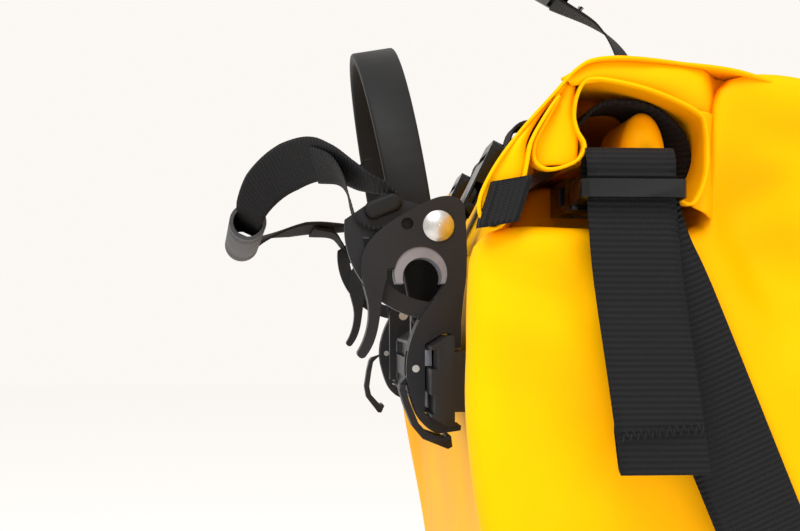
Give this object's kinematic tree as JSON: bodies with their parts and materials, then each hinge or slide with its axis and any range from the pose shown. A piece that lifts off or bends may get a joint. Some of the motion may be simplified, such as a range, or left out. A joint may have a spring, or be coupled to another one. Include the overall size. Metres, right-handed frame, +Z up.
{
  "type": "pannier bag",
  "caption": "Roll-top waterproof bicycle pannier with a mounting rail, sliding rack hooks, latches on a pull strap, a carry handle and buckled straps.",
  "frame": {"origin": "centre of the flat base, on the surface the bag stands on", "axes": "+Z up, +Y towards the bicycle rack, X along the bag's width"},
  "size_m": [0.3405, 0.2575, 0.5369],
  "materials": {
    "yellow_tarpaulin": "PVC-coated, semi-gloss",
    "black_webbing": "ribbed webbing",
    "hook_nylon": "glass-filled nylon, matte",
    "insert_grey": "moulded, matte",
    "rail_black": "extruded, satin",
    "buckle_acetal": "moulded acetal",
    "handle_rubber": "moulded, matte",
    "satin_steel": "satin",
    "stiffener_board": "sheet",
    "pocket_nylon": "woven",
    "reflective_silver": "retroreflective"
  },
  "bodies": {
    "bag": {"bag_shell": "yellow_tarpaulin", "back_stiffener": "stiffener_board", "inner_pocket": "pocket_nylon", "base_guards": "rail_black", "front_reflector": "reflective_silver", "roll_closure": "yellow_tarpaulin", "hem_patches": "black_webbing", "top_rail": "rail_black", "rail_washers": "satin_steel", "rail_screws": "satin_steel", "handle_brackets": "rail_black", "handle_screws": "satin_steel", "roll_sockets": "buckle_acetal", "roll_straps": "black_webbing", "lower_tabs": "black_webbing", "end_socket_left": "buckle_acetal", "end_tab_left": "black_webbing", "end_tab_right": "black_webbing", "end_socket_right": "buckle_acetal", "end_plug_right": "buckle_acetal", "strap_tail_right": "black_webbing", "side_strap_left": "black_webbing", "side_strap_right": "black_webbing", "strap_anchors": "black_webbing", "lower_rail": "rail_black", "lower_rail_screws": "satin_steel"},
    "hook_left": {"hook_outer_plate_left": "hook_nylon", "hook_inner_plate_left": "hook_nylon", "hook_core_left": "hook_nylon", "tube_insert_left": "insert_grey", "hook_rivet_left": "satin_steel", "clamp_pin_left": "satin_steel", "clamp_pad_left": "insert_grey"},
    "hook_right": {"hook_outer_plate_right": "hook_nylon", "hook_inner_plate_right": "hook_nylon", "hook_core_right": "hook_nylon", "tube_insert_right": "insert_grey", "hook_rivet_right": "satin_steel", "clamp_pin_right": "satin_steel", "clamp_pad_right": "insert_grey"},
    "latch_left": {"latch_lever_left": "hook_nylon", "latch_knob_left": "hook_nylon", "latch_spring_left": "satin_steel"},
    "latch_right": {"latch_lever_right": "hook_nylon", "latch_knob_right": "hook_nylon", "latch_spring_right": "satin_steel"},
    "clamp_left": {"clamp_lever_left": "hook_nylon"},
    "clamp_right": {"clamp_lever_right": "hook_nylon"},
    "pull_left": {"pull_strap_left": "black_webbing", "pull_grip": "handle_rubber"},
    "pull_right": {"pull_strap_right": "black_webbing"},
    "handle": {"carry_handle": "handle_rubber"},
    "end_plug": {"end_plug_left": "buckle_acetal", "strap_tail_left": "black_webbing"},
    "roll_plug_left": {"roll_plug_left": "buckle_acetal"},
    "roll_plug_right": {"roll_plug_right": "buckle_acetal"},
    "anchor": {"anchor_carriage": "rail_black", "anchor_screw": "satin_steel"},
    "claw": {"anchor_claw": "rail_black"}
  },
  "joints": [
    {"name": "hook_left_slide", "type": "slide", "parent": "bag", "child": "hook_left", "axis": [1, 0, 0], "range_m": [-0.009, 0.002]},
    {"name": "hook_right_slide", "type": "slide", "parent": "bag", "child": "hook_right", "axis": [1, 0, 0], "range_m": [-0.002, 0.009]},
    {"name": "latch_left_pivot", "type": "hinge", "parent": "hook_left", "child": "latch_left", "pos_m": [-0.09, 0.1057, 0.378], "axis": [1, 0, 0], "range_deg": [0, 28], "stiffness_Nm_per_rad": 0.3, "springref_deg": -20.05},
    {"name": "latch_right_pivot", "type": "hinge", "parent": "hook_right", "child": "latch_right", "pos_m": [0.09, 0.1057, 0.378], "axis": [1, 0, 0], "range_deg": [0, 28], "stiffness_Nm_per_rad": 0.3, "springref_deg": -20.05},
    {"name": "pull_left_hang", "type": "hinge", "parent": "latch_left", "child": "pull_left", "pos_m": [-0.09, 0.1238, 0.3847], "axis": [1, 0, 0], "range_deg": [-28, 0]},
    {"name": "pull_right_hang", "type": "hinge", "parent": "latch_right", "child": "pull_right", "pos_m": [0.09, 0.1238, 0.3847], "axis": [1, 0, 0], "range_deg": [-28, 0]},
    {"name": "clamp_left_pivot", "type": "hinge", "parent": "hook_left", "child": "clamp_left", "pos_m": [-0.09, 0.1132, 0.331], "axis": [1, 0, 0], "range_deg": [0, 60]},
    {"name": "clamp_right_pivot", "type": "hinge", "parent": "hook_right", "child": "clamp_right", "pos_m": [0.09, 0.1132, 0.331], "axis": [1, 0, 0], "range_deg": [-30, 30]},
    {"name": "handle_flex", "type": "hinge", "parent": "bag", "child": "handle", "pos_m": [0, 0.1065, 0.3489], "axis": [1, 0, 0], "range_deg": [-4.5, 4], "stiffness_Nm_per_rad": 0.5},
    {"name": "end_plug_release", "type": "slide", "parent": "bag", "child": "end_plug", "axis": [-1, 0, 0], "range_m": [0, 0.018]},
    {"name": "roll_plug_left_release", "type": "slide", "parent": "bag", "child": "roll_plug_left", "axis": [0, 0.4394, -0.8983], "range_m": [0, 0.016]},
    {"name": "roll_plug_right_release", "type": "slide", "parent": "bag", "child": "roll_plug_right", "axis": [0, 0.4394, -0.8983], "range_m": [0, 0.016]},
    {"name": "anchor_slide", "type": "slide", "parent": "bag", "child": "anchor", "axis": [1, 0, 0], "range_m": [-0.038, 0.038]},
    {"name": "claw_swivel", "type": "hinge", "parent": "anchor", "child": "claw", "pos_m": [0, 0.09016, 0.11915], "axis": [0, 0.9964, -0.0847], "range_deg": [-90, 90]}
  ],
  "couplings": [
    {"joint": "latch_right_pivot", "follows": "latch_left_pivot", "ratio": 1},
    {"joint": "pull_left_hang", "follows": "latch_left_pivot", "ratio": -1},
    {"joint": "pull_right_hang", "follows": "latch_left_pivot", "ratio": -1}
  ]
}
